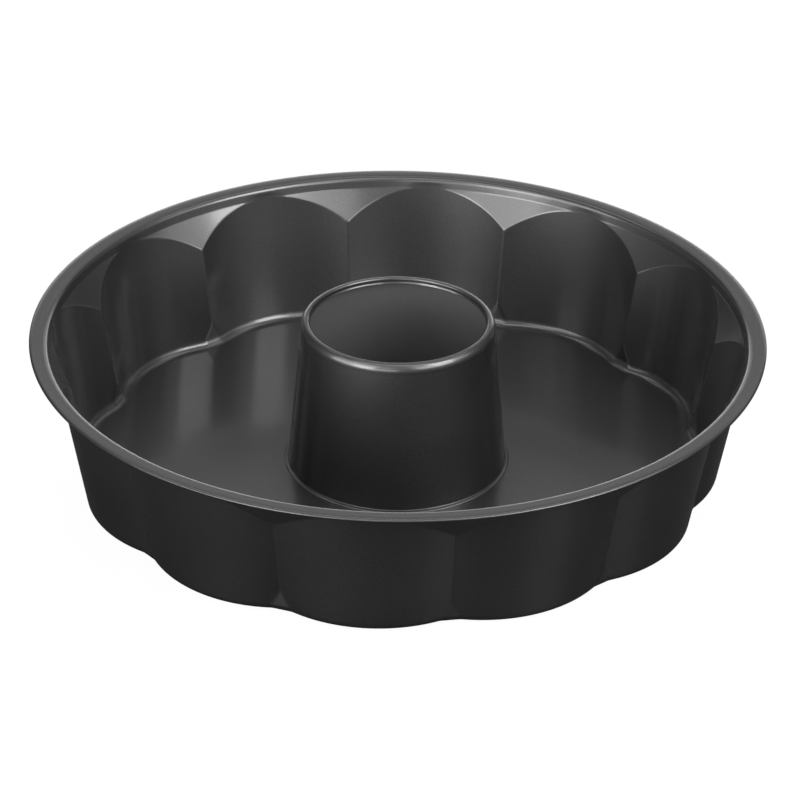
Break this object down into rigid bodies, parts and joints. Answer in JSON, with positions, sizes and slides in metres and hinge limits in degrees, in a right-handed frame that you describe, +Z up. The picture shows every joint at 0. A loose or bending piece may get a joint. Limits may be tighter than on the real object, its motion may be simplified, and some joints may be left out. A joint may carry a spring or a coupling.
{
  "type": "ring cake pan",
  "caption": "Round fluted ring cake pan: a pressed sheet pan body with round lobes and a folded flat rim, and a tapered hollow centre tube clinched through its floor.",
  "frame": {"origin": "on the pan's axis, at the level of the flat ring that it stands on", "axes": "+Z up out of the open mouth, +X through the middle of one lobe"},
  "size_m": [0.28, 0.28, 0.0616],
  "materials": {
    "coating": "satin dark grey non-stick coating over steel sheet"
  },
  "bodies": {
    "root": {"pan_body": "coating", "centre_tube": "coating"}
  },
  "joints": []
}
